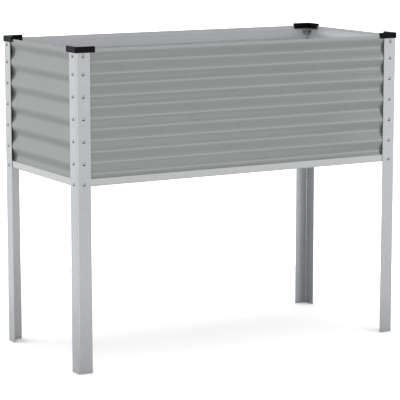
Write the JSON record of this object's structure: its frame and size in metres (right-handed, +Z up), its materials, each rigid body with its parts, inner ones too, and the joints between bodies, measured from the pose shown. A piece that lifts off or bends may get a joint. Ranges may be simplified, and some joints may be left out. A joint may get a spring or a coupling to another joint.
{
  "type": "raised planter on legs",
  "caption": "Corrugated galvanised steel planter bed raised on four angle-iron legs, with bolted wall panels, bottom rails, sheet floor and black corner caps.",
  "frame": {"origin": "on the ground, at the centre of the rectangle of the four legs", "axes": "+X along the length, +Y towards the back, +Z up"},
  "size_m": [1.005, 0.455, 0.86],
  "materials": {
    "galvanised_leg": "hot-dip galvanised steel, light bluish grey, satin",
    "galvanised_rail": "hot-dip galvanised steel, light grey, satin",
    "corrugated_sheet": "galvanised corrugated sheet, mid grey, satin with fine spangle",
    "floor_sheet": "galvanised flat sheet, mid grey, satin",
    "cross_bar_steel": "galvanised steel channel, satin",
    "zinc_fastener": "bright zinc plated",
    "black_plastic": "moulded, slightly grained, low sheen"
  },
  "bodies": {
    "root": {"leg_front_left": "galvanised_leg", "leg_front_right": "galvanised_leg", "leg_back_left": "galvanised_leg", "leg_back_right": "galvanised_leg", "cap_front_left": "black_plastic", "cap_front_right": "black_plastic", "cap_back_left": "black_plastic", "cap_back_right": "black_plastic", "panel_front": "corrugated_sheet", "panel_back": "corrugated_sheet", "panel_left": "corrugated_sheet", "panel_right": "corrugated_sheet", "rail_front": "galvanised_rail", "rail_back": "galvanised_rail", "rail_left": "galvanised_rail", "rail_right": "galvanised_rail", "cross_bar_1": "cross_bar_steel", "cross_bar_2": "cross_bar_steel", "cross_bar_3": "cross_bar_steel", "cross_bar_4": "cross_bar_steel", "floor_panel_left": "floor_sheet", "floor_panel_centre": "floor_sheet", "floor_panel_right": "floor_sheet", "bolts_front_left": "zinc_fastener", "bolts_front_right": "zinc_fastener", "bolts_back_left": "zinc_fastener", "bolts_back_right": "zinc_fastener", "nuts_front_left": "zinc_fastener", "nuts_front_right": "zinc_fastener", "nuts_back_left": "zinc_fastener", "nuts_back_right": "zinc_fastener", "cross_bar_bolts": "zinc_fastener", "cross_bar_nuts": "zinc_fastener"}
  },
  "joints": []
}
